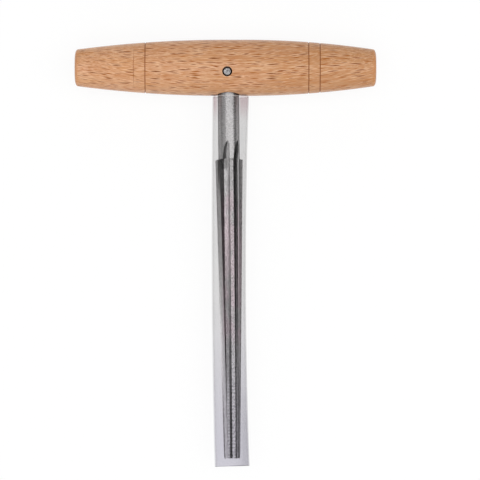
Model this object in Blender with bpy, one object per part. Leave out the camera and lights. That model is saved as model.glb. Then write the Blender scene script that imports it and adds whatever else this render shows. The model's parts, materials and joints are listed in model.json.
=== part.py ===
"""Peg-hole reamer with a turned T-handle, lying flat in its clear protective sleeve.

The beech handle lies along X. The fluted steel reamer leaves its belly towards -Y, held by a
steel cross pin along Z. A clear plastic sleeve covers the cutting edges and slides off the tip.
Sizes are in metres. Z = 0 is the table under the handle's belly, and the origin is the middle of
the footprint. Along the reamer, a distance runs from the handle's axis towards the tip.
"""

import math

import bmesh
import bpy
import numpy as np
from mathutils import Matrix, Vector

# Handle: a barrel turned about X, with a flat disc at each end inside an eased edge.
HANDLE_LENGTH = 0.1056
BELLY_DIAMETER = 0.0197
BELLY_LENGTH = 0.008  # plain stretch at the fattest place, which the handle lies on
BELLY_SHIFT = 0.0030  # that stretch lies this far to the right of the middle
END_DIAMETER = 0.0127
EDGE_LENGTH = 0.0011  # an end's eased edge, along the handle
EDGE_DEPTH = 0.0024  # the same edge, across the handle

# Scribed rings: a pair of fine grooves on each half of the handle.
RING_PAIR_REACH = 0.0306  # middle of a pair, from the middle of the pattern
RING_SPACING = 0.0040
RING_SHIFT = 0.0005  # the pattern lies this far to the right of the middle
RING_WIDTH = 0.00045
RING_DEPTH = 0.00025

# Reamer: a plain shank that steps up to a fluted, tapered head.
SHANK_DIAMETER = 0.0075
TANG_DEPTH = 0.0045  # the shank ends this far past the handle's axis
TANG_CHAMFER = 0.0005
SHOULDER_DISTANCE = 0.0321
SHOULDER_LENGTH = 0.0004
HEAD_DIAMETER = 0.0098
HEAD_LENGTH = 0.1047
TAPER = 1 / 25  # loss of diameter per length
TIP_CHAMFER = 0.0002
REAMER_SHIFT = 0.0009  # the bore lies this far to the right of the middle
REAMER_LEAN = math.radians(0.6)  # the bore is drilled this far off square

# Flutes: shares are of the head's radius at each place, so a flute narrows with the taper.
FLUTE_COUNT = 6
FIRST_EDGE_ANGLE = math.radians(3)  # from straight up, towards +X
SHOULDER_LAND_ANGLE = math.radians(14)
TIP_LAND_ANGLE = math.radians(21)
SHOULDER_FLOOR_LEVEL = 0.54  # share of the radius between the axis and a flute's floor
TIP_FLOOR_LEVEL = 0.64
SHOULDER_FLOOR_WIDTH = 0.37  # share between the cutting face and the corner under a land's back
TIP_FLOOR_WIDTH = 0.56
SHOULDER_FILLET = 0.13  # share of the fillet between the floor and the cutting face
TIP_FILLET = 0.20
CUTTER_RADIUS = 0.047  # of the milling cutter, which leaves a run-out on the shank
RISE_DISTANCE = 0.0356  # where the cutter starts to rise towards the shank
PAST_LAND_SHARE = 0.3  # the cutter's flank passes a land's back by this much
OUTSIDE_SHARE = 1.5  # the cutter's own outside, well clear of the head

# Cross pin
PIN_DIAMETER = 0.0026
PIN_DISTANCE = 0.0020
PIN_SHIFT = 0.0003  # to the left of the reamer's axis
PIN_RECESS = 0.0004  # below the handle's surface at each end
PIN_CHAMFER = 0.0002

# Sleeve: a thin tube, slightly bowed, hanging on the reamer.
SLEEVE_CLEARANCE = 0.0009  # round the head's thickest place
SLEEVE_WALL = 0.00035
SLEEVE_OVERHANG = 0.0028  # past the reamer's tip
SLEEVE_BOW = 0.0008
SLEEVE_MOUTH_SHIFT = 0.00075  # mouth to the right of the reamer's axis
SLEEVE_DROP = 0.00035  # whole sleeve below the reamer's axis

# Fits
BORE_CLEARANCE = 0.0003
PIN_CLEARANCE = 0.00045
MOUTH_CLEARANCE = 0.0003  # between the sleeve's mouth and the handle
FLARE_WIDTH = 0.0007  # the bore widens by this much at its mouth
FLARE_DEPTH = 0.0020

# Facets
HANDLE_SIDES = 48
REAMER_SIDES = 60
PIN_SIDES = 24
SLEEVE_SIDES = 48
BARREL_STATIONS = 9  # from an end to the belly
EDGE_STEPS = 4
FILLET_STEPS = 4
HEAD_STEPS = 4
RUNOUT_STEPS = 8
SLEEVE_STATIONS = 11

# Sizes that follow from those above
BELLY_RADIUS = BELLY_DIAMETER / 2
SHANK_RADIUS = SHANK_DIAMETER / 2
HEAD_RADIUS = HEAD_DIAMETER / 2
BORE_RADIUS = SHANK_RADIUS + BORE_CLEARANCE
PIN_RADIUS = PIN_DIAMETER / 2
PIN_HOLE_RADIUS = PIN_RADIUS + PIN_CLEARANCE
TIP_DISTANCE = SHOULDER_DISTANCE + HEAD_LENGTH
SLEEVE_MOUTH = BELLY_RADIUS + MOUTH_CLEARANCE
SLEEVE_LENGTH = TIP_DISTANCE + SLEEVE_OVERHANG - SLEEVE_MOUTH
SLEEVE_RADIUS = HEAD_RADIUS + SLEEVE_CLEARANCE + SLEEVE_WALL
HANDLE_Y = (SLEEVE_MOUTH + SLEEVE_LENGTH - BELLY_RADIUS) / 2

CUTTER_OVERRUN = 0.0010  # a cutter reaches this far past what it cuts
QUARTER_TURN = math.pi / 2
SHARP_ANGLE = math.radians(30)
WELD_DISTANCE = 1e-7


def clear_scene():
    for obj in list(bpy.data.objects):
        bpy.data.objects.remove(obj, do_unlink=True)


def material(name, colour, roughness, metallic=0.0, transmission=0.0):
    made = bpy.data.materials.new(name)
    made.use_nodes = True
    shader = made.node_tree.nodes["Principled BSDF"]
    shader.inputs["Base Color"].default_value = (*colour, 1.0)
    shader.inputs["Roughness"].default_value = roughness
    shader.inputs["Metallic"].default_value = metallic
    shader.inputs["Transmission Weight"].default_value = transmission
    made.diffuse_color = (*colour, 1.0)
    return made


def empty(name, location, parent=None, turn=0.0):
    made = bpy.data.objects.new(name, None)
    made.location = location
    made.rotation_euler.z = turn
    made.parent = parent
    bpy.context.scene.collection.objects.link(made)
    return made


def mesh_object(name, bm, parent, finish=None):
    """Closes off a bmesh as an object. One with no finish is a cutter, which isn't rendered."""
    bmesh.ops.recalc_face_normals(bm, faces=bm.faces)
    mesh = bpy.data.meshes.new(name)
    bm.to_mesh(mesh)
    bm.free()
    mesh.shade_smooth()
    mesh.set_sharp_from_angle(angle=SHARP_ANGLE)
    made = bpy.data.objects.new(name, mesh)
    made.parent = parent
    bpy.context.scene.collection.objects.link(made)
    if finish is None:
        made.hide_render = True
        made.display_type = "WIRE"
    else:
        mesh.materials.append(finish)
    return made


def turned(name, outline, sides, parent, finish=None):
    """A solid turned about Y. Its outline has (distance along -Y, radius) pairs, end to end."""
    bm = bmesh.new()
    points = [bm.verts.new((radius, -distance, 0)) for distance, radius in outline]
    edges = [bm.edges.new(pair) for pair in zip(points, points[1:])]
    bmesh.ops.spin(
        bm, geom=points + edges, axis=(0, 1, 0), cent=(0, 0, 0), angle=math.tau, steps=sides
    )
    bmesh.ops.remove_doubles(bm, verts=bm.verts, dist=WELD_DISTANCE)
    return mesh_object(name, bm, parent, finish)


def cut(target, cutter):
    modifier = target.modifiers.new(cutter.name, "BOOLEAN")
    modifier.operation = "DIFFERENCE"
    modifier.solver = "EXACT"
    modifier.object = cutter


def barrel_radius(x):
    """Radius of the handle's smooth barrel: plain at the belly, then a parabola to each end."""
    from_belly = max(0, abs(x - BELLY_SHIFT) - BELLY_LENGTH / 2)
    reach = HANDLE_LENGTH / 2 - BELLY_LENGTH / 2 + math.copysign(BELLY_SHIFT, BELLY_SHIFT - x)
    drop = BELLY_RADIUS - END_DIAMETER / 2
    return BELLY_RADIUS - drop * (from_belly / reach) ** 2


def ring_places():
    pairs = [RING_SHIFT + side * RING_PAIR_REACH for side in (-1, 1)]
    return [pair + side * RING_SPACING / 2 for pair in pairs for side in (-1, 1)]


def barrel_outline():
    """The handle's side from left to right, between its eased edges, with the scribed rings."""
    reach = HANDLE_LENGTH / 2 - EDGE_LENGTH
    rings = ring_places()
    outline = []
    for side in (-1, 1):
        belly_end = BELLY_SHIFT + side * BELLY_LENGTH / 2
        for x in np.linspace(side * reach, belly_end, BARREL_STATIONS):
            if min(abs(x - ring) for ring in rings) > RING_WIDTH:
                outline.append((x, barrel_radius(x)))
    for ring in rings:
        for side in (-1, 1):
            lip = ring + side * RING_WIDTH / 2
            outline.append((lip, barrel_radius(lip)))
        outline.append((ring, barrel_radius(ring) - RING_DEPTH))
    return sorted(outline)


def eased_edge(side):
    """The rounded edge of one end, from the barrel out to the flat disc."""
    reach = HANDLE_LENGTH / 2
    start = barrel_radius(side * (reach - EDGE_LENGTH))
    edge = []
    for turn in np.linspace(0, QUARTER_TURN, EDGE_STEPS + 1)[1:]:
        x = reach - EDGE_LENGTH * (1 - math.sin(turn))
        edge.append((side * x, start - EDGE_DEPTH * (1 - math.cos(turn))))
    return edge


def make_handle(axis, finish):
    left = eased_edge(-1)[::-1]
    right = eased_edge(1)
    reach = HANDLE_LENGTH / 2
    outline = [(-reach, 0), *left, *barrel_outline(), *right, (reach, 0)]
    handle = turned("handle", outline, HANDLE_SIDES, axis, finish)
    handle.rotation_euler.z = QUARTER_TURN
    return handle


def make_bore(axis):
    """The blind hole for the shank, flared where it breaks through the handle's belly."""
    floor = -TANG_DEPTH - BORE_CLEARANCE
    flare_start = math.sqrt(BELLY_RADIUS**2 - BORE_RADIUS**2) - FLARE_DEPTH
    outside = BELLY_RADIUS + CUTTER_OVERRUN
    flare_radius = BORE_RADIUS + (outside - flare_start) * FLARE_WIDTH / FLARE_DEPTH
    outline = [
        (floor, 0),
        (floor, BORE_RADIUS),
        (flare_start, BORE_RADIUS),
        (outside, flare_radius),
        (outside, 0),
    ]
    return turned("bore", outline, REAMER_SIDES, axis)


def make_pin_hole(axis):
    reach = BELLY_RADIUS + CUTTER_OVERRUN
    outline = [(-reach, 0), (-reach, PIN_HOLE_RADIUS), (reach, PIN_HOLE_RADIUS), (reach, 0)]
    hole = turned("pin_hole", outline, PIN_SIDES, axis)
    hole.location = (-PIN_SHIFT, -PIN_DISTANCE, 0)
    hole.rotation_euler.x = QUARTER_TURN
    return hole


def make_pin(axis, finish):
    reach = math.sqrt(BELLY_RADIUS**2 - PIN_DISTANCE**2) - PIN_RECESS
    half = [(reach - PIN_CHAMFER, PIN_RADIUS), (reach, PIN_RADIUS - PIN_CHAMFER), (reach, 0)]
    outline = [(-distance, radius) for distance, radius in reversed(half)] + half
    pin = turned("cross_pin", outline, PIN_SIDES, axis, finish)
    pin.location = (-PIN_SHIFT, -PIN_DISTANCE, 0)
    pin.rotation_euler.x = QUARTER_TURN
    return pin


def head_radius(distance):
    return HEAD_RADIUS - (distance - SHOULDER_DISTANCE) * TAPER / 2


def make_reamer(axis, finish):
    shoulder_end = SHOULDER_DISTANCE + SHOULDER_LENGTH
    tip_radius = head_radius(TIP_DISTANCE)
    outline = [
        (-TANG_DEPTH, 0),
        (-TANG_DEPTH, SHANK_RADIUS - TANG_CHAMFER),
        (TANG_CHAMFER - TANG_DEPTH, SHANK_RADIUS),
        (SHOULDER_DISTANCE, SHANK_RADIUS),
        (shoulder_end, head_radius(shoulder_end)),
        (TIP_DISTANCE - TIP_CHAMFER, head_radius(TIP_DISTANCE - TIP_CHAMFER)),
        (TIP_DISTANCE, tip_radius - TIP_CHAMFER),
        (TIP_DISTANCE, 0),
    ]
    return turned("reamer", outline, REAMER_SIDES, axis, finish)


def spoke(angle, share):
    """A point of a flute's section, at an angle to the left of its cutting face."""
    return share * Vector((-math.sin(angle), math.cos(angle)))


def flute_profile(share):
    """Corners of a flute in shares of the head's radius, as (across, outwards) pairs.

    The cutting face stands at zero across, and the flute lies to its left. The share of the way
    from the shoulder to the tip sets how deep and wide the flute is for its radius, and the
    angle of the land behind it.
    """
    level = SHOULDER_FLOOR_LEVEL + share * (TIP_FLOOR_LEVEL - SHOULDER_FLOOR_LEVEL)
    width = SHOULDER_FLOOR_WIDTH + share * (TIP_FLOOR_WIDTH - SHOULDER_FLOOR_WIDTH)
    fillet = SHOULDER_FILLET + share * (TIP_FILLET - SHOULDER_FILLET)
    land_angle = SHOULDER_LAND_ANGLE + share * (TIP_LAND_ANGLE - SHOULDER_LAND_ANGLE)
    flute_angle = math.tau / FLUTE_COUNT - land_angle
    corner = Vector((-width, level))
    foot = []
    for turn in np.linspace(0, QUARTER_TURN, FILLET_STEPS + 1):
        foot.append(Vector((fillet * (math.sin(turn) - 1), level + fillet * (1 - math.cos(turn)))))
    outside = [spoke(0, OUTSIDE_SHARE), spoke(flute_angle / 2, OUTSIDE_SHARE)]
    land_back = spoke(flute_angle, 1)
    past_land = land_back + PAST_LAND_SHARE * (land_back - corner).normalized()
    return [corner, *foot, *outside, past_land]


def flute_stations():
    """(distance, lift) along a flute: the taper from the tip up, then the cutter's run-out."""
    stations = []
    for distance in np.linspace(TIP_DISTANCE + CUTTER_OVERRUN, RISE_DISTANCE, HEAD_STEPS + 1):
        stations.append((distance, 0))
    clear_lift = SHANK_RADIUS - SHOULDER_FLOOR_LEVEL * HEAD_RADIUS + CUTTER_OVERRUN
    run_out = math.sqrt(2 * CUTTER_RADIUS * clear_lift - clear_lift**2)
    for run in np.linspace(0, run_out, RUNOUT_STEPS + 1)[1:]:
        lift = CUTTER_RADIUS - math.sqrt(CUTTER_RADIUS**2 - run**2)
        stations.append((RISE_DISTANCE - run, lift))
    return stations


def make_flutes(axis):
    bm = bmesh.new()
    for index in range(FLUTE_COUNT):
        turn = Matrix.Rotation(FIRST_EDGE_ANGLE + index * math.tau / FLUTE_COUNT, 3, "Y")
        rings = []
        for distance, lift in flute_stations():
            along_head = max(distance, SHOULDER_DISTANCE)
            scale = head_radius(along_head)
            ring = []
            for across, outwards in flute_profile((along_head - SHOULDER_DISTANCE) / HEAD_LENGTH):
                spot = Vector((across * scale, -distance, outwards * scale + lift))
                ring.append(bm.verts.new(turn @ spot))
            rings.append(ring)
        for first, second in zip(rings, rings[1:]):
            for side in range(len(first)):
                corners = (first[side - 1], first[side], second[side], second[side - 1])
                bm.faces.new(corners)
        bm.faces.new(rings[0])
        bm.faces.new(rings[-1])
    bmesh.ops.triangulate(bm, faces=bm.faces)
    return mesh_object("flutes", bm, axis)


def sleeve_centre(share):
    """Middle of the sleeve at a share of its length: a straight line bowed to the left."""
    x = SLEEVE_MOUTH_SHIFT * (1 - share) - 4 * SLEEVE_BOW * share * (1 - share)
    return Vector((x, -SLEEVE_MOUTH - SLEEVE_LENGTH * share, -SLEEVE_DROP))


def sleeve_lean(share):
    """Turn about Z that sets a ring of the sleeve square to its bowed middle line."""
    slope = 4 * SLEEVE_BOW * (1 - 2 * share) + SLEEVE_MOUTH_SHIFT
    return -math.atan2(slope, SLEEVE_LENGTH)


def make_sleeve(axis, finish):
    bm = bmesh.new()
    rings = []
    for share in np.linspace(0, 1, SLEEVE_STATIONS):
        lean = Matrix.Rotation(sleeve_lean(share), 3, "Z")
        ring = []
        for angle in np.linspace(0, math.tau, SLEEVE_SIDES, endpoint=False):
            rim = Vector((math.sin(angle), 0, math.cos(angle))) * SLEEVE_RADIUS
            ring.append(bm.verts.new(sleeve_centre(share) + lean @ rim))
        edges = [bm.edges.new((ring[side - 1], ring[side])) for side in range(SLEEVE_SIDES)]
        rings.append(edges)
    for first, second in zip(rings, rings[1:]):
        bmesh.ops.bridge_loops(bm, edges=first + second)
    sleeve = mesh_object("protective_sleeve", bm, axis, finish)
    wall = sleeve.modifiers.new("wall", "SOLIDIFY")
    wall.thickness = SLEEVE_WALL
    wall.offset = -1
    return sleeve


def main():
    clear_scene()
    beech = material("beech", (0.60, 0.32, 0.165), 0.55)
    tool_steel = material("tool_steel", (0.42, 0.41, 0.41), 0.35, metallic=1.0)
    pin_steel = material("pin_steel", (0.36, 0.35, 0.36), 0.45, metallic=1.0)
    clear_plastic = material("clear_plastic", (0.84, 0.84, 0.88), 0.12, transmission=1.0)

    handle_axis = empty("handle_axis", (0, HANDLE_Y, BELLY_RADIUS))
    reamer_axis = empty("reamer_axis", (REAMER_SHIFT, 0, 0), handle_axis, REAMER_LEAN)

    handle = make_handle(handle_axis, beech)
    reamer = make_reamer(reamer_axis, tool_steel)
    make_pin(reamer_axis, pin_steel)
    make_sleeve(reamer_axis, clear_plastic)

    pin_hole = make_pin_hole(reamer_axis)
    cut(handle, make_bore(reamer_axis))
    cut(handle, pin_hole)
    cut(reamer, make_flutes(reamer_axis))
    cut(reamer, pin_hole)


main()
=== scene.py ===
"""Looks of a T-handled peg-hole reamer: turned beech, fluted steel, a cross pin and a clear sleeve.

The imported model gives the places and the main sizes. The smaller sizes below are in metres. Most are
those of the solids; the bore, the flutes and the sleeve are fitted a little closer to the photograph.
Along the reamer, a distance runs from the handle's axis towards the tip.
"""

import json
import math

import bmesh
import bpy
import numpy as np
from mathutils import Matrix, Vector, noise


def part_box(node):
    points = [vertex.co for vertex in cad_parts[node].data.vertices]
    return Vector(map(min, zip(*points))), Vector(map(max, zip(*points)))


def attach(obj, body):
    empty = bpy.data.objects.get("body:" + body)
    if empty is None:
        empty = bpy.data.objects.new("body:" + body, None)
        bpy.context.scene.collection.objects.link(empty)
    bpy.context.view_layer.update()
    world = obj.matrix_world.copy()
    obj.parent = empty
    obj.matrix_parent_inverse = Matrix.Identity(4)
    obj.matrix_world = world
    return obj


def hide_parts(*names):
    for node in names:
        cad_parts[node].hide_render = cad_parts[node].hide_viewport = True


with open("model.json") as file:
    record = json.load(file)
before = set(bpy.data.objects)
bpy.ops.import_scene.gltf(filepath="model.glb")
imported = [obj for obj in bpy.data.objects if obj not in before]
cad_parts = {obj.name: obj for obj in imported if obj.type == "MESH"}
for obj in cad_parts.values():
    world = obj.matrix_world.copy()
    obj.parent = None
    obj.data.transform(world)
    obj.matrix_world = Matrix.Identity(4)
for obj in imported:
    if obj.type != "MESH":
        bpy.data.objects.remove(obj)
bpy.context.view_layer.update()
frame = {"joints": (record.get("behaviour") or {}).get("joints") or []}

# Handle
BELLY_LENGTH = 0.008
BELLY_SHIFT = 0.0030
END_DIAMETER = 0.0127
EDGE_LENGTH = 0.0011
EDGE_DEPTH = 0.0024
RING_PAIR_REACH = 0.0306
RING_SPACING = 0.0040
RING_SHIFT = 0.0005
RING_WIDTH = 0.00045
RING_DEPTH = 0.00022
FADED_RING_DEPTH = 0.55  # of the outer left ring, as a share of the others
FADED_RING_ANGLE = 0.12  # radians from straight up to where it is deepest
FADED_RING_REACH = 0.75  # radians from there to where it fades out

# Reamer
SHANK_RADIUS = 0.00375
TANG_DEPTH = 0.0045
TANG_CHAMFER = 0.0005
SHOULDER_DISTANCE = 0.0321
SHOULDER_LENGTH = 0.0004
HEAD_RADIUS = 0.0049
HEAD_LENGTH = 0.1047
TAPER = 1 / 25
TIP_CHAMFER = 0.0002
TIP_DISTANCE = SHOULDER_DISTANCE + HEAD_LENGTH

# Flutes: pairs are at the shoulder and at the tip, and shares are of the head's radius at each place.
FLUTE_COUNT = 6
PITCH = math.tau / FLUTE_COUNT
FIRST_EDGE_ANGLE = math.radians(3)
LAND_ANGLES = (math.radians(14), math.radians(24))
FLOOR_LEVELS = (0.54, 0.64)
FLOOR_WIDTHS = (0.40, 0.57)
FILLETS = (0.13, 0.28)
CUTTER_RADIUS = 0.047
RISE_DISTANCE = 0.0356
PAST_LAND_SHARE = 0.3
HONED_SHARE = 0.84  # a cutting face is honed from here outwards
GLINT_WIDTH = 0.10  # of the painted highlight along its foot
LEAST_STRIP = 0.01
OUTSIDE_SHARE = 1.5
SHADE_WIDTH = 0.0008  # of the painted shade beside the wall where the top flute runs out

# Finishes of the reamer, in the order of its material slots
# Many of these finishes carry painted light and shade, as noted where the materials are made
SHANK, HEAD_LAND, HONED, MID_FACE_SHADE, GLINT, FACE, FLOOR, WALL = range(8)
TOP_FACE, TOP_FLOOR, LEFT_SIDE, SHADE, MILLED, LEFT_LAND = range(8, 14)

# Finishes across each flute, from the one right of the top, round below, to the one left of it
UNSEEN_FLUTE = (HONED, HONED, MILLED, MILLED, MILLED, MILLED)
FLUTE_FINISHES = (
    (HONED, MID_FACE_SHADE, GLINT, FACE, FLOOR, WALL),
    UNSEEN_FLUTE,
    UNSEEN_FLUTE,
    UNSEEN_FLUTE,
    (HONED, HONED, MILLED, MILLED, MILLED, LEFT_SIDE),
    (HONED, MID_FACE_SHADE, TOP_FACE, TOP_FACE, TOP_FLOOR, WALL),
)

# Cross pin and holes: shares are of the pin's half length and of its radius.
PIN_SHIFT = 0.0003
PIN_EDGE_LENGTH = 0.03
PIN_EDGE_WIDTH = 0.14
PIN_END_SHARES = (0.8, 0.04)  # the widest and the narrowest ring on its ends
PIN_ROUGH_START = 0.98
PIN_ROUGH_DEPTH = 0.00009
PIN_ROUGH_PER_METRE = 1800
PIN_CLEARANCE = 0.00045
TIGHT_CLEARANCE = 0.00004
BORE_CLEARANCE = 0.00008
FLARE_WIDTH = 0.0006
FLARE_DEPTH = 0.0014
CUTTER_OVERRUN = 0.0010

# Sleeve
SLEEVE_WALL = 0.00035
SLEEVE_OVERHANG = 0.00275
SLEEVE_BOW = 0.0009
SLEEVE_MOUTH_SHIFT = 0.00085
MOUTH_CLEARANCE = 0.0002
MOUTH_SHARE = 0.05  # of its length in which the sleeve turns square to the handle
SLEEVE_WIDTHS = (1.035, 0.955, 0.985)  # share of the round width at the mouth, middle and end
TUBE, MOUTH_RIM, END_RIM = range(3)  # its finishes, in the order of its material slots

# Facets
HANDLE_SIDES = 160
BARREL_STATIONS = 90
RING_STATIONS = (-0.55, -0.5, -0.35, -0.2, 0, 0.2, 0.35, 0.5, 0.55)  # shares of a ring's width
EDGE_STEPS = 10
END_FACE_RINGS = 3
END_FACE_SHARE = 0.75  # of the ring outside it
LAND_STEPS = 10
FACE_STEPS = 3
FILLET_STEPS = 8
FLOOR_STEPS = 6
WALL_STEPS = 3
HEAD_STEPS = 60
RUNOUT_STEPS = 60
TANG_STEPS = 12
SLEEVE_SIDES = 96
SLEEVE_STATIONS = 60
RIM_STEPS = 6
PIN_SIDES = 64
PIN_EDGE_STEPS = 4
PIN_END_RINGS = 12
BORE_SIDES = 120
SHARP_ANGLE = math.radians(18)
WELD_DISTANCE = 2e-7

# All materials
NOISE_RANGE = (0.3, 0.7)  # in which most of a noise pattern lies

# Beech: the sizes of a pattern are along the handle, across it and up.
GRAIN_BOW = -1.5  # sideways, for the square of the distance from the handle's middle
GRAIN_WANDER = 0.0014
WANDER_SIZES = (0.014, 0.006, 0.02)
GROWTH_SIZES = (0.08, 0.004, 0.003)
PATCH_SIZES = (0.012, 0.005, 0.005)
PATCH_SHIFT = (3.1, 7.7, 1.9)
STREAK_SIZES = (0.016, 0.00024, 0.00024)
FIBRE_SIZES = (0.0020, 0.00021, 0.00021)
FIBRE_HEIGHT = 0.00002
FIBRE_RANGE = (0.2, 0.8)  # in the fibre pattern, from between its fibres to on them
BEECH_ROUGHNESS = (0.62, 0.50)  # at the two ends of that range
BORED_FIBRE_SIZES = (0.004, 0.0004, 0.0004)
BORED_FIBRE_HEIGHT = 0.00005
DEEP_BEECH = (0.580, 0.304, 0.160)
PALE_BEECH = (0.658, 0.381, 0.222)
# Hole walls: cut fibres, lightened with painted light where the holes lie in shade
DEEP_BORED_BEECH = (0.60, 0.36, 0.25)
PALE_BORED_BEECH = (0.80, 0.55, 0.42)
# Painted shade: the right end is darker, as if lit from the left
RIGHT_END_PAINTED_SHADE = (0.765, 0.735, 0.655)
RIGHT_END_PAINTED_SHADE_REACH = (-0.05, 0.05)
END_GRAIN = (0.55, 0.22, 0.070)
END_GRAIN_START = (0.0510, 0.0526)
END_GRAIN_SHARE = 0.45
GROOVE_BROWN = (0.22, 0.072, 0.022)
GROOVE_SHARE = 0.75

# Stains of the beech: start and stop in their pattern, their share at both, and their colour
PALE_PATCH = ((0.50, 0.75, 0.0, 0.6), (0.685, 0.386, 0.240))
ORANGE_PATCH = ((0.26, 0.48, 0.6, 0.0), (0.620, 0.320, 0.136))
DARK_STREAK = ((0.28, 0.50, 0.62, 0.0), (0.420, 0.155, 0.044))
PALE_STREAK = ((0.54, 0.72, 0.0, 0.55), (0.790, 0.520, 0.330))
DARK_FIBRE = ((0.30, 0.60, 0.70, 0.0), (0.460, 0.175, 0.055))

# Ray flecks: length and width of a cell, the least and greatest dark part of it, and the pattern's shift
STRONG_FLECKS = (0.0104, 0.00105, (0.12, 0.25), 7.3)
PLAIN_FLECKS = (0.0088, 0.00092, (0.12, 0.24), 41.7)
FAINT_FLECKS = (0.0075, 0.00070, (0.12, 0.30), 17.3)
FLECK_POINT = 1.3  # 2 would make them oval, and 1 lozenges
FLECK_SHIFT_ACROSS = 0.37  # of the shift along
FLECK_WEIGHTS = (0.15, 0.80)  # lots that leave a cell bare, and that mark it fully
FLECK_EDGE = (0.6, 1.0)  # where a mark fades out, as shares of its size
FLECK_BORDER_EDGE = (1.2, 2.4)
STRONG_BROWN = (0.17, 0.040, 0.003)
PLAIN_BROWN = (0.22, 0.052, 0.004)
FAINT_BROWN = (0.29, 0.080, 0.008)
FLECK_BORDER = (0.76, 0.49, 0.31)
FLECK_BORDER_SHARE = 0.45

# Painted contact shadow of the sleeve's mouth on the beech, from the handle's middle
CONTACT_SHADOW_MIDDLE = 0.0012
CONTACT_SHADOW_REACH = (0.0056, 0.0070)
CONTACT_SHADOW_HEIGHT = (0.0016, 0.0032)
CONTACT_SHADOW_FRONT = (-0.0090, -0.0080)
CONTACT_SHADOW_SHARE = 0.75
CONTACT_SHADOW_BROWN = (0.15, 0.060, 0.028)

# Steel: pairs are a start and a stop along the reamer.
STEEL_GREY = (1.0, 0.98, 0.985)
EDGE_TINT = 0.45  # how bright it is where it is seen edge on
SPECKLE_SHARE = 0.75  # of its mottling; clouds make up the rest
MOTTLE_RANGE = (0.36, 0.64)  # in the mottling, from dark to light
# Painted shade on the shank where it goes into the bore
BORE_PAINTED_SHADE = (0.0088, 0.0108)
RUN_OUT = (0.0350, 0.0365)
DOWN_HEAD = (0.050, 0.120)
BLUSH = (1.045, 0.915, 0.965)
BLUSH_START = (0.040, 0.047)
BLUSH_STOP = (0.092, 0.100)
BLUSH_LEFT = (-0.0032, -0.0022)  # across the reamer
BLUSH_CLOUDS = (0.32, 0.55)  # in the cloud pattern
BEAD_PERIOD = 0.0012
BEAD_START = (0.095, 0.118)
BEAD_DRIFT = 9.0
CLOUD_SIZES = (0.004, 0.009, 0.004)
CLOUD_SHIFT = (5.0, 2.0, 8.0)
FINE_GRAIN = (0.0004, 0.0008, 0.0004)
DRAWN_GRAIN = (0.0004, 0.003, 0.0004)
EVEN_GRAIN = (0.00035, 0.00035, 0.00035)
CUT_GRAIN = (0.0007, 0.0007, 0.0007)
SATIN_HEIGHT = 0.00002
SMOOTH_HEIGHT = 0.00001
CUT_HEIGHT = 0.00012
ROUGHNESS_SPREAD = 0.05

# Clear plastic: pairs are a start and a stop, along the sleeve or across it.
MOUTH_TINT = (0.906, 0.868, 0.874)
MIDDLE_TINT = (0.952, 0.950, 0.950)
END_TINT = (0.912, 0.907, 0.930)
MOUTH_TINT_ALONG = (0.0105, 0.020)
MOUTH_TINT_ACROSS = (0.0035, 0.0045)
END_TINT_ALONG = (0.07, 0.14)
COVER_ACROSS = (-0.002, 0.006)
RIGHT_END_COVER = 0.05
RIGHT_END_ALONG = (0.108, 0.130)
RIGHT_END_ACROSS = (0.002, 0.005)
HAZE_SIZES = (0.003, 0.02, 0.003)
HAZE_SCALES = (0.8, 1.2)  # of the cover, where there is least and most haze
EDGE_ON_COVER = 0.3
EDGE_ON_POWER = 5.0

# Stage: a light has its place, its aim, its width and height, and its strength, where 1 is white.
WHITE = (1.0, 1.0, 1.0)
FLOOR_SIZE = 4.0
FLOOR_PALE = (0.9, 0.9, 0.9)
FLOOR_GLOW = 0.90
WORLD_STRENGTH = 0.33
LIGHTS = {
    "overhead": ((0.66, -0.20, 1.50), (0.66, -0.20, 0.0), (2.96, 1.60), 1.80),
    "left": ((-1.25, 0.0, 1.05), (0.0, 0.0, 0.0), (0.70, 1.60), 0.7),
    "front": ((0.0, -1.50, 0.80), (0.0, 0.0, 0.0), (2.00, 0.80), 1.4),
    "back": ((0.0, 1.50, 0.80), (0.0, 0.0, 0.0), (2.00, 0.80), 1.0),
}

# Camera: above the sleeve's end, looking at the middle of the photograph's frame.
CAMERA_HEIGHT = 1.6
CAMERA_Y = -0.075
FRAME_WIDTH = 0.168
FRAME_MIDDLE = (0.00508, 0.00443)
SENSOR_WIDTH_MM = 36
CLIP_START = 0.01

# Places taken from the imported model
handle_low, handle_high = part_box("handle")
HANDLE_REACH = (handle_high.x - handle_low.x) / 2
BELLY_RADIUS = (handle_high.z - handle_low.z) / 2
HANDLE_MIDDLE = handle_high - Vector((HANDLE_REACH, BELLY_RADIUS, BELLY_RADIUS))
HANDLE_PLACE = Matrix.Translation(HANDLE_MIDDLE)
pin_low, pin_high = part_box("cross_pin")
PIN_MIDDLE = (pin_low + pin_high) / 2
PIN_RADIUS = (pin_high.x - pin_low.x) / 2
PIN_REACH = (pin_high.z - pin_low.z) / 2
PIN_PLACE = Matrix.Translation(PIN_MIDDLE) @ Matrix.Rotation(math.pi / 2, 4, "X")
sleeve_low, sleeve_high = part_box("protective_sleeve")
SLEEVE_RADIUS = (sleeve_high.z - sleeve_low.z) / 2
SLEEVE_DROP = HANDLE_MIDDLE.z - (sleeve_high.z + sleeve_low.z) / 2
REAMER_WAY = Vector(frame["joints"][0]["axis"])
REAMER_LEAN = math.atan2(REAMER_WAY.x, -REAMER_WAY.y)
REAMER_TURN = Matrix.Rotation(REAMER_LEAN, 4, "Z")
ON_REAMER = PIN_MIDDLE + REAMER_TURN @ Vector((PIN_SHIFT, 0, 0))
REAMER_START = ON_REAMER - REAMER_WAY * (ON_REAMER.y - HANDLE_MIDDLE.y) / REAMER_WAY.y
REAMER_PLACE = Matrix.Translation(REAMER_START) @ REAMER_TURN
SLEEVE_MOUTH = BELLY_RADIUS + MOUTH_CLEARANCE
SLEEVE_LENGTH = TIP_DISTANCE + SLEEVE_OVERHANG - SLEEVE_MOUTH


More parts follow.
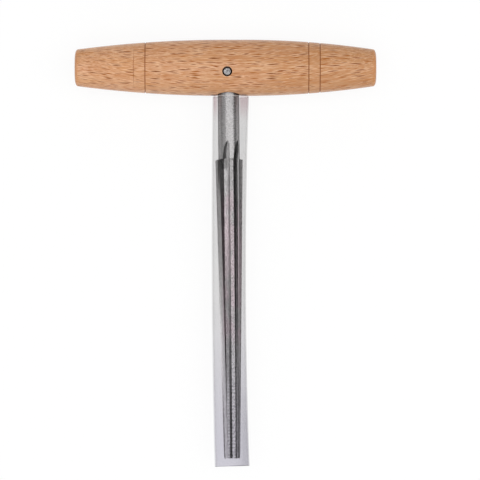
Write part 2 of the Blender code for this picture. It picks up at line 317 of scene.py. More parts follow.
class Graph:
    """A material's nodes, built one at a time."""

    def __init__(self, name):
        self.material = bpy.data.materials.new(name)
        self.material.use_nodes = True
        self.tree = self.material.node_tree
        self.shader = self.tree.nodes["Principled BSDF"]
        self.output = self.tree.nodes["Material Output"]

    def plug(self, socket, value):
        """Links another node's output to a socket, or sets the socket to a number, a vector or a colour."""
        if isinstance(value, bpy.types.NodeSocket):
            self.tree.links.new(value, socket)
        elif socket.type == "RGBA":
            socket.default_value = (*value, 1.0)
        else:
            socket.default_value = value

    def node(self, kind, inputs=None, **settings):
        made = self.tree.nodes.new(kind)
        for name, value in settings.items():
            setattr(made, name, value)
        for name, value in (inputs or {}).items():
            self.plug(made.inputs[name], value)
        return made

    def math(self, operation, first, second=0.0):
        made = self.node("ShaderNodeMath", {0: first, 1: second}, operation=operation)
        return made.outputs[0]

    def product(self, first, *others):
        for other in others:
            first = self.math("MULTIPLY", first, other)
        return first

    def spread(self, value, low, high, to_low=0.0, to_high=1.0):
        """A smooth step from to_low to to_high as the value goes from low to high."""
        inputs = {"Value": value, "From Min": low, "From Max": high, "To Min": to_low, "To Max": to_high}
        made = self.node("ShaderNodeMapRange", inputs, interpolation_type="SMOOTHSTEP")
        return made.outputs[0]

    def mix(self, factor, first, second, blend="MIX"):
        inputs = {0: factor, 6: first, 7: second}
        return self.node("ShaderNodeMix", inputs, data_type="RGBA", blend_type=blend).outputs[2]

    def place(self):
        return self.node("ShaderNodeTexCoord").outputs["Object"]

    def axes(self):
        """The object's own X, Y and Z."""
        return tuple(self.node("ShaderNodeSeparateXYZ", {"Vector": self.place()}).outputs)

    def joined(self, x, y, z=0.0):
        return self.node("ShaderNodeCombineXYZ", {"X": x, "Y": y, "Z": z}).outputs[0]

    def stretched(self, sizes, shift=(0.0, 0.0, 0.0), place=None):
        """Coordinates in which each of the sizes is one unit: those of the object, unless given."""
        scale = tuple(1 / size for size in sizes)
        inputs = {"Vector": place or self.place(), "Scale": scale, "Location": shift}
        return self.node("ShaderNodeMapping", inputs).outputs[0]

    def noise(self, sizes, detail=2.0, roughness=0.5, shift=(0.0, 0.0, 0.0), place=None):
        spot = self.stretched(sizes, shift, place)
        inputs = {"Vector": spot, "Scale": 1.0, "Detail": detail, "Roughness": roughness}
        return self.node("ShaderNodeTexNoise", inputs).outputs[0]

    def bump(self, height, distance, strength=1.0):
        inputs = {"Height": height, "Distance": distance, "Strength": strength}
        self.plug(self.shader.inputs["Normal"], self.node("ShaderNodeBump", inputs).outputs[0])

    def surface(self, inputs):
        """Sets the shader's own sockets."""
        for name, value in inputs.items():
            self.plug(self.shader.inputs[name], value)

    def blend(self, factor, first, second):
        """Mixes two shaders into the material."""
        made = self.node("ShaderNodeMixShader", {0: factor, 1: first, 2: second})
        self.plug(self.output.inputs["Surface"], made.outputs[0])


def grey(level):
    """The faintly warm grey of steel."""
    return tuple(level * part for part in STEEL_GREY)


def stained(graph, wood, pattern, stain):
    steps, shade = stain
    return graph.mix(graph.spread(pattern, *steps), wood, shade)


def flecks(graph, rays, share, length, width, sizes, shift):
    """Spindle-shaped marks, one in most cells of a stretched pattern, as strong as the share.

    Returns how far each place lies in a mark, and how far in the pale border round it.
    """
    spot = graph.stretched((length, width, 1.0), (shift, FLECK_SHIFT_ACROSS * shift, 0.0), rays)
    cells = graph.node(
        "ShaderNodeTexVoronoi",
        {"Vector": spot, "Scale": 1.0, "Randomness": 1.0, "Exponent": FLECK_POINT},
        voronoi_dimensions="2D",
        distance="MINKOWSKI",
    )
    draws = graph.node("ShaderNodeSeparateColor", {"Color": cells.outputs["Color"]})
    size = graph.spread(draws.outputs[0], 0.0, 1.0, *sizes)
    depth = graph.math("DIVIDE", cells.outputs["Distance"], size)
    weight = graph.product(graph.spread(draws.outputs[1], *FLECK_WEIGHTS), share)
    mark = graph.product(graph.spread(depth, *FLECK_EDGE, 1.0, 0.0), weight)
    border = graph.product(graph.spread(depth, *FLECK_BORDER_EDGE, 1.0, 0.0), weight)
    return mark, border


def flecked(graph, wood, rays, share):
    """The wood with its ray flecks, and how far each place lies in a strong one."""
    strong, strong_border = flecks(graph, rays, share, *STRONG_FLECKS)
    plain, plain_border = flecks(graph, rays, share, *PLAIN_FLECKS)
    faint, _ = flecks(graph, rays, share, *FAINT_FLECKS)
    border = graph.product(graph.math("MAXIMUM", strong_border, plain_border), FLECK_BORDER_SHARE)
    wood = graph.mix(border, wood, FLECK_BORDER)
    for mark, brown in ((faint, FAINT_BROWN), (plain, PLAIN_BROWN), (strong, STRONG_BROWN)):
        wood = graph.mix(mark, wood, brown)
    return wood, strong


def plain_wood(graph, along, streak, fibre):
    """The wood without its ray flecks, with painted shade darkening its right end."""
    growth = graph.noise(GROWTH_SIZES, detail=3.0, roughness=0.55)
    patch = graph.noise(PATCH_SIZES, shift=PATCH_SHIFT)
    wood = graph.mix(graph.spread(growth, *NOISE_RANGE), DEEP_BEECH, PALE_BEECH)
    wood = stained(graph, wood, patch, PALE_PATCH)
    wood = stained(graph, wood, patch, ORANGE_PATCH)
    # Painted shade towards the right end
    wood = graph.mix(graph.spread(along, *RIGHT_END_PAINTED_SHADE_REACH), wood, RIGHT_END_PAINTED_SHADE, "MULTIPLY")
    wood = stained(graph, wood, streak, DARK_STREAK)
    wood = stained(graph, wood, streak, PALE_STREAK)
    return stained(graph, wood, fibre, DARK_FIBRE)


def painted_contact_shadow(graph, along, across, up):
    """How dark the painted shadow is where the sleeve's mouth meets the wood, on both sides of the shank.
    """
    from_shank = graph.math("ABSOLUTE", graph.math("SUBTRACT", along, CONTACT_SHADOW_MIDDLE))
    beside = graph.spread(from_shank, *CONTACT_SHADOW_REACH, CONTACT_SHADOW_SHARE, 0.0)
    low = graph.spread(graph.math("ABSOLUTE", up), *CONTACT_SHADOW_HEIGHT, 1.0, 0.0)
    front = graph.spread(across, *CONTACT_SHADOW_FRONT, 1.0, 0.0)
    return graph.product(beside, low, front)


def beech():
    """Beech cut on the flat: the rays show as thin dark spindles, and the grain bows along the handle."""
    graph = Graph("beech")
    along, across, up = graph.axes()
    wander = graph.math("SUBTRACT", graph.noise(WANDER_SIZES), 0.5)
    bow = graph.product(along, along, GRAIN_BOW)
    drift = graph.math("ADD", bow, graph.product(wander, GRAIN_WANDER))
    grain = graph.joined(along, graph.math("ADD", across, drift), up)
    arc = graph.product(graph.math("ARCTAN2", across, up), BELLY_RADIUS)
    rays = graph.joined(along, graph.math("ADD", arc, drift))
    side = graph.spread(graph.math("ABSOLUTE", along), *END_GRAIN_START, 1.0, 0.0)
    streak = graph.noise(STREAK_SIZES, detail=1.0, place=grain)
    fibre = graph.noise(FIBRE_SIZES, roughness=0.6, place=grain)

    wood = plain_wood(graph, along, streak, fibre)
    wood, strong = flecked(graph, wood, rays, side)
    end = graph.product(graph.math("SUBTRACT", 1.0, side), END_GRAIN_SHARE)
    wood = graph.mix(end, wood, END_GRAIN)
    in_groove = graph.node("ShaderNodeAttribute", attribute_name="groove").outputs["Fac"]
    wood = graph.mix(graph.product(in_groove, GROOVE_SHARE), wood, GROOVE_BROWN)
    # Painted shadow where the sleeve's mouth meets the wood
    wood = graph.mix(painted_contact_shadow(graph, along, across, up), wood, CONTACT_SHADOW_BROWN)
    graph.surface(
        {
            "Base Color": wood,
            "Roughness": graph.spread(fibre, *FIBRE_RANGE, *BEECH_ROUGHNESS),
            "Specular IOR Level": 0.0,
            "Coat Weight": 1.0,
            "Coat IOR": 1.25,
            "Coat Roughness": 0.25,
        }
    )
    graph.bump(graph.math("SUBTRACT", fibre, strong), FIBRE_HEIGHT, 0.6)
    return graph.material


def bored_beech():
    """Walls of the drilled holes: end grain and cut fibres, lightened with painted light, so paler than the
    outside.
    """
    graph = Graph("bored_beech")
    fibre = graph.noise(BORED_FIBRE_SIZES, detail=3.0, roughness=0.6)
    wood = graph.mix(graph.spread(fibre, *NOISE_RANGE), DEEP_BORED_BEECH, PALE_BORED_BEECH)
    graph.surface({"Base Color": wood, "Roughness": 0.75})
    graph.bump(fibre, BORED_FIBRE_HEIGHT, 0.8)
    return graph.material


def cutter_marks(graph, along, cloud, chatter):
    """How bright the steel is along the small waves that the cutter left, which grow towards the tip."""
    drift = graph.product(cloud, BEAD_DRIFT)
    wave = graph.math("SINE", graph.math("ADD", graph.product(along, math.tau / BEAD_PERIOD), drift))
    beads = graph.product(wave, graph.spread(along, *BEAD_START, 0.0, chatter))
    return graph.math("ADD", beads, 1.0)


def steel(name, levels, roughness, grain, grain_height, tones=(), chatter=0.0, metal=1.0):
    """Bare steel with a fine grain between two levels of grey, with a pink tint on the middle of the head.

    Each tone is (start, stop, first, last): along the reamer, the colour is scaled from first to last.
    Chatter is how strongly the cutter's marks show near the tip.
    """
    graph = Graph(name)
    across, back, _ = graph.axes()
    along = graph.product(back, -1.0)
    speckle = graph.noise(grain, roughness=0.7)
    cloud = graph.noise(CLOUD_SIZES, shift=CLOUD_SHIFT)
    clouds = graph.product(cloud, 1 - SPECKLE_SHARE)
    mottle = graph.math("ADD", graph.product(speckle, SPECKLE_SHARE), clouds)
    dark, light = levels
    shade = graph.mix(graph.spread(mottle, *MOTTLE_RANGE), grey(dark), grey(light))
    blush = graph.product(
        graph.spread(along, *BLUSH_START),
        graph.spread(along, *BLUSH_STOP, 1.0, 0.0),
        graph.spread(across, *BLUSH_LEFT),
        graph.spread(cloud, *BLUSH_CLOUDS),
    )
    shade = graph.mix(blush, shade, BLUSH, "MULTIPLY")
    scales = [graph.spread(along, *tone) for tone in tones]
    if chatter:
        scales.append(cutter_marks(graph, along, cloud, chatter))
    for scale in scales:
        shade = graph.mix(1.0, shade, scale, "MULTIPLY")
    roughnesses = (roughness - ROUGHNESS_SPREAD, roughness + ROUGHNESS_SPREAD)
    rough = graph.spread(speckle, *NOISE_RANGE, *roughnesses)
    graph.surface({"Base Color": shade, "Roughness": rough})
    graph.surface({"Metallic": metal, "Specular Tint": grey(EDGE_TINT)})
    graph.bump(speckle, grain_height)
    return graph.material


def reamer_steels():
    """The finishes of the reamer, in the order of its material slots."""
    from_run_out = (*RUN_OUT, 0.5, 1.0)
    top_floor_painted_tones = [(*RUN_OUT, 0.45, 1.0), (0.050, 0.085, 1.0, 0.56), (0.098, 0.120, 1.0, 1.4)]
    glint_highlight_tones = [(0.060, 0.085, 1.0, 0.75), (0.090, 0.115, 1.0, 0.5)]
    floor_shade_tones = [from_run_out, (*DOWN_HEAD, 0.8, 1.3)]
    flank_shade_tones = [from_run_out, (0.055, 0.095, 1.0, 3.6)]
    left_light_tones = [(*DOWN_HEAD, 0.75, 1.5)]
    left_land_light_and_shade_tones = [(0.036, 0.047, 0.22, 1.0), *left_light_tones]
    top_root_painted_tones = [(0.040, 0.125, 1.9, 0.3)]
    root_shade_tones = [(*DOWN_HEAD, 0.8, 3.0)]
    satin = (FINE_GRAIN, SATIN_HEIGHT)
    smooth = (FINE_GRAIN, SMOOTH_HEIGHT)
    drawn = (DRAWN_GRAIN, SMOOTH_HEIGHT)
    return [
        # The shank is darkened with painted shade where it goes into the bore
        steel("satin_steel", (0.31, 0.46), 0.29, EVEN_GRAIN, SATIN_HEIGHT, [(*BORE_PAINTED_SHADE, 0.50, 1.0)]),
        steel("ground_steel", (0.24, 0.40), 0.29, *satin, chatter=0.14),
        steel("honed_steel", (0.34, 0.52), 0.48, *satin),
        # The middle strip of a cutting face, darkened as painted shade
        steel("mid_face_painted_shade", (0.20, 0.34), 0.45, *satin),
        # The line at a cutting face's foot: a painted highlight, matt rather than metal
        steel("glint_painted_highlight", (0.66, 0.82), 0.55, *smooth, glint_highlight_tones, metal=0.2),
        # Flute roots, floors and walls: darkened as painted shade, which eases towards the tip; floors and
        # walls also darker in the run-out
        steel("root_painted_shade", (0.03, 0.07), 0.35, *smooth, root_shade_tones),
        steel("floor_painted_shade", (0.08, 0.16), 0.30, *drawn, floor_shade_tones),
        steel("flank_painted_shade", (0.105, 0.175), 0.22, *smooth, flank_shade_tones),
        # The top flute's root, made lighter and less metallic, and its floor: their tones along the reamer
        # are painted light and shade
        steel("top_root_painted_light_and_shade", (0.16, 0.28), 0.45, *smooth, top_root_painted_tones, chatter=0.2, metal=0.4),
        steel("top_floor_painted_light_and_shade", (0.25, 0.38), 0.24, *drawn, top_floor_painted_tones, chatter=0.18),
        # Left side of the head: made lighter as painted light from the left, more so towards the tip
        steel("left_painted_light", (0.42, 0.58), 0.35, *satin, left_light_tones, metal=0.6),
        # The strip beside the wall where the top flute runs out: painted shade
        steel("shaded_steel", (0.025, 0.05), 0.30, *smooth),
        steel("milled_steel", (0.26, 0.42), 0.34, *drawn),
        # The land left of the top flute: painted light from the left, with painted shade near the shoulder
        steel("left_land_painted_light_and_shade", (0.42, 0.58), 0.35, *satin, left_land_light_and_shade_tones, metal=0.6),
    ]


def pin_steel():
    """The rough, dull finish of the pin."""
    return steel("cut_steel", (0.06, 0.36), 0.34, CUT_GRAIN, CUT_HEIGHT)


def clear_plastic(name, level, covers, roughness):
    """Thin clear wall: it tints what is seen through it, pink at the mouth and lavender towards its end.

    The level is its own grey. The covers are how much of what lies behind it is hidden, on its left
    and on its right.
    """
    graph = Graph(name)
    across, back, _ = graph.axes()
    along = graph.product(back, -1.0)
    tint = graph.mix(graph.spread(along, *END_TINT_ALONG), MIDDLE_TINT, END_TINT)
    beside = graph.spread(graph.math("ABSOLUTE", across), *MOUTH_TINT_ACROSS)
    at_mouth = graph.product(graph.spread(along, *MOUTH_TINT_ALONG, 1.0, 0.0), beside)
    tint = graph.mix(at_mouth, tint, MOUTH_TINT)
    on_right = graph.spread(across, *RIGHT_END_ACROSS)
    right_end = graph.product(on_right, graph.spread(along, *RIGHT_END_ALONG, 0.0, RIGHT_END_COVER))
    cover = graph.math("ADD", graph.spread(across, *COVER_ACROSS, *covers), right_end)
    haze = graph.spread(graph.noise(HAZE_SIZES), *NOISE_RANGE, *HAZE_SCALES)
    facing = graph.node("ShaderNodeLayerWeight", {"Blend": 0.5}).outputs["Facing"]
    edge_on = graph.product(graph.math("POWER", facing, EDGE_ON_POWER), EDGE_ON_COVER)
    clear = graph.node("ShaderNodeBsdfTransparent", {"Color": tint}).outputs[0]
    graph.surface({"Base Color": grey(level), "Roughness": roughness})
    graph.blend(graph.math("ADD", graph.product(cover, haze), edge_on), clear, graph.shader.outputs[0])
    return graph.material


def sleeve_plastics():
    """The finishes of the sleeve, in the order of its material slots."""
    return [
        clear_plastic("clear_plastic", 0.06, (0.032, 0.055), 0.12),
        # The mouth rim is near white: a painted highlight along the cut edge
        clear_plastic("mouth_rim", 0.90, (0.30, 0.25), 0.30),
        # The end rim darkens towards its right: painted shade
        clear_plastic("end_rim", 0.06, (0.15, 0.75), 0.30),
    ]


def floor_white():
    """Pale floor: white to the camera and in reflections, with some of its shading kept for the shadow."""
    graph = Graph("floor_white")
    graph.surface({"Base Color": FLOOR_PALE, "Roughness": 0.9, "Specular IOR Level": 0.0})
    path = graph.node("ShaderNodeLightPath")
    seen = graph.math("MAXIMUM", path.outputs["Is Camera Ray"], path.outputs["Is Glossy Ray"])
    seen = graph.math("MAXIMUM", seen, path.outputs["Is Transmission Ray"])
    glow = graph.node("ShaderNodeEmission", {"Color": WHITE, "Strength": 1.0})
    graph.blend(graph.product(seen, FLOOR_GLOW), graph.shader.outputs[0], glow.outputs[0])
    return graph.material


def added(name, data):
    """A new object in the scene."""
    made = bpy.data.objects.new(name, data)
    bpy.context.scene.collection.objects.link(made)
    return made


def piece(name, bm, place, finishes, node, body):
    """Turns a bmesh into a piece that stands for a CAD node and moves with its body."""
    bmesh.ops.remove_doubles(bm, verts=bm.verts, dist=WELD_DISTANCE)
    bmesh.ops.recalc_face_normals(bm, faces=bm.faces)
    mesh = bpy.data.meshes.new(name)
    bm.to_mesh(mesh)
    bm.free()
    for finish in finishes:
        mesh.materials.append(finish)
    made = added(name, mesh)
    made.matrix_world = place
    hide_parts(node)
    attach(made, body)
    return made


def smooth_with_edges(made):
    made.data.shade_smooth()
    made.data.set_sharp_from_angle(angle=SHARP_ANGLE)


def weld(bm):
    """Joins points that meet, and drops the faces that have no area then."""
    bmesh.ops.remove_doubles(bm, verts=bm.verts, dist=WELD_DISTANCE)
    bmesh.ops.dissolve_degenerate(bm, edges=bm.edges, dist=WELD_DISTANCE)


def bridged(bm, rings):
    """Quads between rings of vertices, one after the other; returns them ring by ring."""
    strips = []
    for first, second in zip(rings, rings[1:]):
        strip = []
        for side in range(len(first)):
            corners = (first[side - 1], first[side], second[side], second[side - 1])
            strip.append(bm.faces.new(corners))
        strips.append(strip)
    return strips


def capped(bm, rings):
    """Quads between rings of vertices, and a flat face at each end; returns the quads ring by ring."""
    strips = bridged(bm, rings)
    bm.faces.new(rings[0])
    bm.faces.new(rings[-1])
    return strips


def turned(outline, sides):
    """A solid turned about Y from (distance along -Y, radius) pairs, with a flat face at each end."""
    bm = bmesh.new()
    angles = np.linspace(0, math.tau, sides, endpoint=False)
    rings = []
    for distance, radius in outline:
        points = [(radius * math.sin(angle), -distance, radius * math.cos(angle)) for angle in angles]
        rings.append([bm.verts.new(point) for point in points])
    capped(bm, rings)
    return bm


def cut(made, bm, place, finish):
    """Cuts a bmesh out of a piece for good; the walls of the cut get the finish."""
    bmesh.ops.recalc_face_normals(bm, faces=bm.faces)
    mesh = bpy.data.meshes.new("cutter")
    bm.to_mesh(mesh)
    bm.free()
    mesh.materials.append(finish)
    cutter = added("cutter", mesh)
    cutter.matrix_world = place
    modifier = made.modifiers.new("cut", "BOOLEAN")
    modifier.object = cutter
    modifier.solver = "EXACT"
    modifier.material_mode = "TRANSFER"
    bpy.context.view_layer.update()
    result = bpy.data.meshes.new_from_object(made.evaluated_get(bpy.context.evaluated_depsgraph_get()))
    clean = bmesh.new()
    clean.from_mesh(result)
    weld(clean)
    clean.to_mesh(result)
    clean.free()
    made.modifiers.clear()
    made.data = result
    bpy.data.objects.remove(cutter)


def barrel_radius(x):
    from_belly = max(0, abs(x - BELLY_SHIFT) - BELLY_LENGTH / 2)
    reach = HANDLE_REACH - BELLY_LENGTH / 2 + math.copysign(BELLY_SHIFT, BELLY_SHIFT - x)
    return BELLY_RADIUS - (BELLY_RADIUS - END_DIAMETER / 2) * (from_belly / reach) ** 2


def ring_places():
    pairs = [RING_SHIFT + side * RING_PAIR_REACH for side in (-1, 1)]
    return [pair + side * RING_SPACING / 2 for pair in pairs for side in (-1, 1)]


def ring_bite(ring, angle):
    """How deep a scribed ring is at an angle from straight up: the outer left one fades out."""
    if ring > 0:
        return 1.0
    past = angle - FADED_RING_ANGLE
    swing = math.atan2(math.sin(past), math.cos(past))
    return FADED_RING_DEPTH * math.exp(-((swing / FADED_RING_REACH) ** 4))


def groove(x, angle):
    """Share of the full ring depth at a place on the barrel."""
    for index, ring in enumerate(ring_places()):
        share = abs(x - ring) / (RING_WIDTH / 2)
        if share < 1:
            return (1 - share**2) * ring_bite(index, angle)
    return 0.0


def barrel_stations():
    reach = HANDLE_REACH - EDGE_LENGTH
    stations = set(np.linspace(-reach, reach, BARREL_STATIONS))
    for ring in ring_places():
        stations |= {ring + share * RING_WIDTH for share in RING_STATIONS}
    return sorted(stations)


def handle_outline():
    """(place along the handle, radius) pairs from the middle of its left end to that of its right end."""
    start = HANDLE_REACH - EDGE_LENGTH
    easing = []
    for turn in np.linspace(0, math.pi / 2, EDGE_STEPS + 1)[1:]:
        easing.append((start + EDGE_LENGTH * math.sin(turn), EDGE_DEPTH * (1 - math.cos(turn))))
    outline = [(-x, barrel_radius(-start) - drop) for x, drop in reversed(easing)]
    outline += [(x, barrel_radius(x)) for x in barrel_stations()]
    outline += [(x, barrel_radius(start) - drop) for x, drop in easing]
    for _ in range(END_FACE_RINGS):
        outline.insert(0, (outline[0][0], outline[0][1] * END_FACE_SHARE))
        outline.append((outline[-1][0], outline[-1][1] * END_FACE_SHARE))
    return outline


def make_handle(finish, hole_finish):
    bm = bmesh.new()
    rings = []
    for x, radius in handle_outline():
        ring = []
        for angle in np.linspace(0, math.tau, HANDLE_SIDES, endpoint=False):
            here = radius - RING_DEPTH * groove(x, angle)
            ring.append(bm.verts.new((x, -here * math.sin(angle), here * math.cos(angle))))
        rings.append(ring)
    capped(bm, rings)
    handle = piece("turned_handle", bm, HANDLE_PLACE, [finish], "handle", "tool")
    cut(handle, make_bore(), REAMER_PLACE, hole_finish)
    cut(handle, make_pin_hole(PIN_CLEARANCE), PIN_PLACE, hole_finish)
    mark = handle.data.attributes.new("groove", "FLOAT", "POINT")
    for index, vertex in enumerate(handle.data.vertices):
        mark.data[index].value = groove(vertex.co.x, math.atan2(-vertex.co.y, vertex.co.z))
    smooth_with_edges(handle)


def make_bore():
    radius = SHANK_RADIUS + BORE_CLEARANCE
    floor = -TANG_DEPTH - BORE_CLEARANCE
    flare_start = math.sqrt(BELLY_RADIUS**2 - radius**2) - FLARE_DEPTH
    outside = BELLY_RADIUS + CUTTER_OVERRUN
    flare_radius = radius + (outside - flare_start) * FLARE_WIDTH / FLARE_DEPTH
    return turned([(floor, radius), (flare_start, radius), (outside, flare_radius)], BORE_SIDES)


def make_pin_hole(clearance):
    radius = PIN_RADIUS + clearance
    reach = BELLY_RADIUS + CUTTER_OVERRUN
    return turned([(-reach, radius), (reach, radius)], PIN_SIDES)


def pin_half_outline():
    """(share of the half length, share of the radius) pairs, from the pin's middle to its end."""
    half = [(0.0, 1.0), (1 - PIN_EDGE_LENGTH, 1.0)]
    for turn in np.linspace(0, math.pi / 2, PIN_EDGE_STEPS + 1)[1:]:
        along = 1 - PIN_EDGE_LENGTH * (1 - math.sin(turn))
        half.append((along, 1 - PIN_EDGE_WIDTH * (1 - math.cos(turn))))
    for share in np.linspace(*PIN_END_SHARES, PIN_END_RINGS):
        half.append((1.0, share))
    return half


def make_pin(finish):
    """A cut-off pin: its ends are rough, with a rolled edge."""
    half = pin_half_outline()
    outline = [(-along, across) for along, across in reversed(half)] + half[1:]
    bm = turned([(along * PIN_REACH, across * PIN_RADIUS) for along, across in outline], PIN_SIDES)
    for vertex in bm.verts:
        if abs(vertex.co.y) > PIN_ROUGH_START * PIN_REACH:
            rough = noise.noise(vertex.co * PIN_ROUGH_PER_METRE) * PIN_ROUGH_DEPTH
            vertex.co.y -= math.copysign(PIN_ROUGH_DEPTH + rough, vertex.co.y)
    pin = piece("steel_pin", bm, PIN_PLACE, [finish], "cross_pin", "tool")
    pin.data.shade_smooth()


def head_radius(distance):
    return HEAD_RADIUS - (distance - SHOULDER_DISTANCE) * TAPER / 2


def blank_radius(distance):
    """Radius of the turned blank that the flutes are cut into."""
    if distance < SHOULDER_DISTANCE:
        return SHANK_RADIUS - max(0, TANG_CHAMFER - TANG_DEPTH - distance)
    up = min(1, (distance - SHOULDER_DISTANCE) / SHOULDER_LENGTH)
    full = SHANK_RADIUS + up * (head_radius(distance) - SHANK_RADIUS)
    return full - max(0, distance - TIP_DISTANCE + TIP_CHAMFER)


def flute_profile(share):
    """Points down the honed part and the darker middle of the cutting face, which is painted shade, its
    painted highlight and its foot, then across the floor and up the wall, at a share of the head's length."""
    sizes = (FLOOR_LEVELS, FLOOR_WIDTHS, FILLETS, LAND_ANGLES)
    level, width, fillet, land_angle = (first + share * (last - first) for first, last in sizes)
    corner = Vector((-width, level))
    flute_angle = PITCH - land_angle
    land_back = Vector((-math.sin(flute_angle), math.cos(flute_angle)))
    past = land_back + PAST_LAND_SHARE * (land_back - corner).normalized()
    foot = level + fillet
    mid_face_foot = foot + GLINT_WIDTH
    honed_foot = max(HONED_SHARE, mid_face_foot + LEAST_STRIP)
    honed = [Vector((0, up)) for up in np.linspace(OUTSIDE_SHARE, honed_foot, FACE_STEPS + 1)]
    mid_face = [Vector((0, up)) for up in np.linspace(honed_foot, mid_face_foot, FACE_STEPS + 1)[1:]]
    glint = [Vector((0, foot))]
    curve = []
    for turn in np.linspace(math.pi / 2, 0, FILLET_STEPS + 1)[1:]:
        curve.append(Vector((fillet * (math.sin(turn) - 1), level + fillet * (1 - math.cos(turn)))))
    floor = [Vector((across, level)) for across in np.linspace(-fillet, -width, FLOOR_STEPS + 1)[1:]]
    wall = [corner.lerp(past, step) for step in np.linspace(0, 1, WALL_STEPS + 1)[1:]]
    return honed, mid_face, glint, curve, floor, wall


def crossing(inside, outside, radius):
    """Where a segment leaves a circle about the origin."""
    way = outside - inside
    a = way.dot(way)
    b = inside.dot(way)
    c = inside.dot(inside) - radius**2
    return inside + way * ((math.sqrt(max(0, b * b - a * c)) - b) / a)


def clipped(points, radius):
    """The same number of points, with those outside the circle moved to where the line crosses it."""
    within = [index for index, point in enumerate(points) if point.length < radius]
    if not within:
        nearest = min(points, key=lambda point: point.length)
        return [nearest.normalized() * radius] * len(points)
    first, last = within[0], within[-1]
    entry = crossing(points[first], points[first - 1], radius)
    leave = crossing(points[last], points[last + 1], radius)
    return [entry] * first + points[first : last + 1] + [leave] * (len(points) - last - 1)


def shaded_floor(flute, start):
    """The points across the floor, spaced so that half of them lie in the painted shade beside the wall."""
    first = flute[start - 1]
    last = flute[start + FLOOR_STEPS - 1]
    dark = min(1, SHADE_WIDTH / max((last - first).length, WELD_DISTANCE))
    half = FLOOR_STEPS // 2
    shares = [*np.linspace(0, 1 - dark, half + 1)[1:], *np.linspace(1 - dark, 1, half + 1)[1:]]
    return [first.lerp(last, share) for share in shares]


def land_points(flute, radius):
    """Points on the blank from the end of a flute to the start of the next one."""
    start = math.atan2(flute[-1].x, flute[-1].y)
    end = math.atan2(flute[0].x, flute[0].y) - PITCH
    angles = np.linspace(start, end, LAND_STEPS + 1)[1:-1]
    return [Vector((math.sin(angle), math.cos(angle))) * radius for angle in angles]


def reamer_stations():
    """(distance, lift of the flutes) from the tang to the tip."""
    clear = SHANK_RADIUS - FLOOR_LEVELS[0] * HEAD_RADIUS + CUTTER_OVERRUN
    run_out = math.sqrt(2 * CUTTER_RADIUS * clear - clear**2)
    places = [-TANG_DEPTH, SHOULDER_DISTANCE, SHOULDER_DISTANCE + SHOULDER_LENGTH, TIP_DISTANCE]
    places += list(np.linspace(TANG_CHAMFER - TANG_DEPTH, RISE_DISTANCE - run_out, TANG_STEPS))[:-1]
    places += list(np.linspace(RISE_DISTANCE - run_out, RISE_DISTANCE, RUNOUT_STEPS + 1))[:-1]
    places += list(np.linspace(RISE_DISTANCE, TIP_DISTANCE - TIP_CHAMFER, HEAD_STEPS))
    stations = []
    for distance in sorted(places):
        run = min(run_out, max(0, RISE_DISTANCE - distance))
        stations.append((distance, CUTTER_RADIUS - math.sqrt(CUTTER_RADIUS**2 - run**2)))
    return stations


def tooth_finishes(tooth, parts, land, on_shank):
    """The finish of the face that ends at each point of a flute and of the land after it."""
    flute = [finish for finish, part in zip(FLUTE_FINISHES[tooth - 1], parts) for _ in part]
    before = LEFT_SIDE if tooth == FLUTE_COUNT - 1 else HEAD_LAND
    after = LEFT_LAND if tooth == FLUTE_COUNT else HEAD_LAND
    if on_shank:
        before = SHANK
        after = SHANK
    # Painted shade beside the wall where the top flute runs out
    if on_shank and tooth == FLUTE_COUNT:
        shaded = FLOOR_STEPS // 2 + WALL_STEPS
        flute[-shaded:] = [SHADE] * shaded
    return [before, *flute[1:], *[after] * len(land)]


def reamer_section(distance, lift):
    """Points round the reamer at a distance, and the finish of the face that ends at each of them."""
    on_shank = distance <= SHOULDER_DISTANCE
    on_head = max(distance, SHOULDER_DISTANCE)
    radius = blank_radius(distance)
    parts = flute_profile((on_head - SHOULDER_DISTANCE) / HEAD_LENGTH)
    raised = [point * head_radius(on_head) + Vector((0, lift)) for part in parts for point in part]
    flute = clipped(raised, radius)
    if on_shank:
        floor_start = len(flute) - WALL_STEPS - FLOOR_STEPS
        flute[floor_start : floor_start + FLOOR_STEPS] = shaded_floor(flute, floor_start)
    land = land_points(flute, radius)
    points = []
    finishes = []
    for tooth in range(FLUTE_COUNT, 0, -1):
        turn = FIRST_EDGE_ANGLE + tooth * PITCH
        for point in flute + land:
            across = point.x * math.cos(turn) + point.y * math.sin(turn)
            up = point.y * math.cos(turn) - point.x * math.sin(turn)
            points.append(Vector((across, -distance, up)))
        finishes += tooth_finishes(tooth, parts, land, on_shank)
    return points, finishes


def make_reamer(finishes, hole_finish):
    bm = bmesh.new()
    rings = []
    sections = [reamer_section(distance, lift) for distance, lift in reamer_stations()]
    for points, _ in sections:
        rings.append([bm.verts.new(point) for point in points])
    for strip, (_, strip_finishes) in zip(capped(bm, rings), sections[1:]):
        for face, finish in zip(strip, strip_finishes):
            face.material_index = finish
    weld(bm)
    bmesh.ops.triangulate(bm, faces=[face for face in bm.faces if len(face.verts) > 4])
    reamer = piece("fluted_reamer", bm, REAMER_PLACE, finishes, "reamer", "tool")
    cut(reamer, make_pin_hole(TIGHT_CLEARANCE), PIN_PLACE, hole_finish)
    smooth_with_edges(reamer)


def sleeve_width(share):
    """Share of the round width: the tube is pressed wide at its mouth and narrow from there on."""
    mouth, middle, end = SLEEVE_WIDTHS
    return middle + (mouth - middle) * (1 - share) ** 3 + (end - middle) * share**3


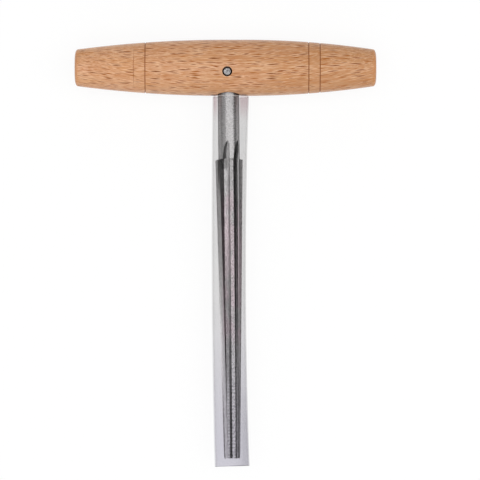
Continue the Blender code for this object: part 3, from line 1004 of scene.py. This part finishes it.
def sleeve_ring(bm, share, past, radius):
    """One ring of the sleeve: past is how far it lies beyond that share of the length."""
    x = SLEEVE_MOUTH_SHIFT * (1 - share) - 4 * SLEEVE_BOW * share * (1 - share)
    middle = Vector((x, -SLEEVE_MOUTH - SLEEVE_LENGTH * share, -SLEEVE_DROP))
    slope = 4 * SLEEVE_BOW * (1 - 2 * share) + SLEEVE_MOUTH_SHIFT
    square = max(0, 1 - share / MOUTH_SHARE)
    lean = math.atan2(slope, SLEEVE_LENGTH) * (1 - square) + REAMER_LEAN * square
    tilt = Matrix.Rotation(-lean, 3, "Z")
    wide = sleeve_width(share)
    ring = []
    for angle in np.linspace(0, math.tau, SLEEVE_SIDES, endpoint=False):
        rim = Vector((radius * wide * math.sin(angle), -past, radius / wide * math.cos(angle)))
        ring.append(bm.verts.new(middle + tilt @ rim))
    return ring


def make_sleeve(finishes):
    """The tube, with rounded rims of their own finish at its mouth and its end."""
    bm = bmesh.new()
    half = SLEEVE_WALL / 2
    middle = SLEEVE_RADIUS - half
    inset = half / SLEEVE_LENGTH
    shares = [inset, 2 * inset, *np.linspace(4 * inset, 1 - inset, SLEEVE_STATIONS)]
    turns = np.linspace(0, math.pi, RIM_STEPS + 1)[1:-1]
    rings = [sleeve_ring(bm, share, 0, SLEEVE_RADIUS) for share in shares]
    for turn in turns:
        rings.append(sleeve_ring(bm, shares[-1], half * math.sin(turn), middle + half * math.cos(turn)))
    rings += [sleeve_ring(bm, share, 0, SLEEVE_RADIUS - SLEEVE_WALL) for share in reversed(shares)]
    for turn in turns:
        rings.append(sleeve_ring(bm, shares[0], -half * math.sin(turn), middle - half * math.cos(turn)))
    strips = bridged(bm, rings + rings[:1])
    end_start = len(shares) - 1
    strip_finishes = [TUBE] * len(strips)
    strip_finishes[end_start : end_start + RIM_STEPS] = [END_RIM] * RIM_STEPS
    strip_finishes[-RIM_STEPS:] = [MOUTH_RIM] * RIM_STEPS
    for strip, finish in zip(strips, strip_finishes):
        for face in strip:
            face.material_index = finish
    node = "protective_sleeve"
    sleeve = piece("clear_sleeve", bm, REAMER_PLACE, finishes, node, "sleeve")
    sleeve.data.shade_smooth()


def soft_light(name, place, aim, sizes, strength):
    """A soft light whose surface shines with the given strength, where 1 is white."""
    width, height = sizes
    lamp = bpy.data.lights.new(name, "AREA")
    lamp.shape = "RECTANGLE"
    lamp.size = width
    lamp.size_y = height
    lamp.energy = strength * math.pi * width * height
    made = added(name, lamp)
    made.location = place
    made.rotation_euler = (Vector(aim) - Vector(place)).to_track_quat("-Z", "Y").to_euler()


def make_stage():
    bpy.ops.mesh.primitive_plane_add(size=FLOOR_SIZE)
    floor = bpy.context.object
    floor.name = "floor"
    floor.data.materials.append(floor_white())
    world = bpy.data.worlds.new("studio")
    world.use_nodes = True
    background = world.node_tree.nodes["Background"]
    background.inputs["Color"].default_value = (*WHITE, 1.0)
    background.inputs["Strength"].default_value = WORLD_STRENGTH
    bpy.context.scene.world = world
    for name, light in LIGHTS.items():
        soft_light(name, *light)


def make_camera():
    lens = bpy.data.cameras.new("camera")
    lens.sensor_width = SENSOR_WIDTH_MM
    aim = Vector((*FRAME_MIDDLE, HANDLE_MIDDLE.z))
    place = Vector((FRAME_MIDDLE[0], CAMERA_Y, HANDLE_MIDDLE.z + CAMERA_HEIGHT))
    lens.lens = SENSOR_WIDTH_MM * (aim - place).length / FRAME_WIDTH
    lens.clip_start = CLIP_START
    camera = added("camera", lens)
    camera.location = place
    camera.rotation_euler = (math.atan2(aim.y - place.y, CAMERA_HEIGHT), 0, 0)
    bpy.context.scene.camera = camera


def main():
    bpy.context.scene.view_settings.view_transform = "Standard"
    steels = reamer_steels()
    make_handle(beech(), bored_beech())
    make_reamer(steels, steels[FACE])
    make_pin(pin_steel())
    make_sleeve(sleeve_plastics())
    make_stage()
    make_camera()


main()
